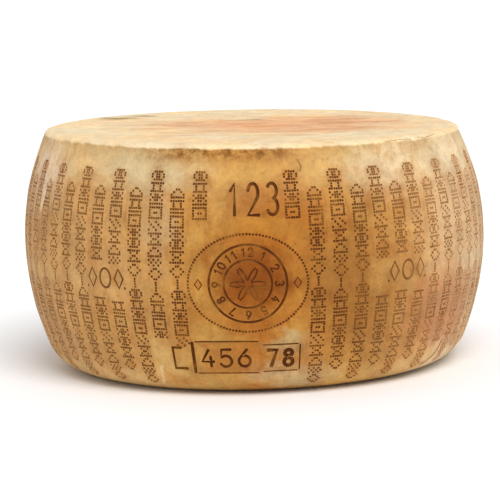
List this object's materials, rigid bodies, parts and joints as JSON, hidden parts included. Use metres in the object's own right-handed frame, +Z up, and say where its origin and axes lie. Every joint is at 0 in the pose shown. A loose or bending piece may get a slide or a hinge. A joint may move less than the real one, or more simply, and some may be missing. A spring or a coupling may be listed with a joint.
{
  "type": "parmesan wheel",
  "caption": "Whole wheel of hard aged cheese lying flat: bulging golden rind with burnt-in dotted stamps, rolled upper edge, soft lower corner.",
  "frame": {"origin": "middle of the flat base that the wheel rests on", "axes": "+Z up through the middle of the upper face; the front, with the large round stamp, faces -Y; +X is to the right of someone facing the front"},
  "size_m": [0.4576, 0.4562, 0.2382],
  "materials": {
    "rind": "oiled, waxy golden-tan rind, mottled cream to orange-brown, with a fine cloth-like texture and dark brown pin marks"
  },
  "bodies": {
    "root": {"cheese_wheel": "rind"}
  },
  "joints": []
}
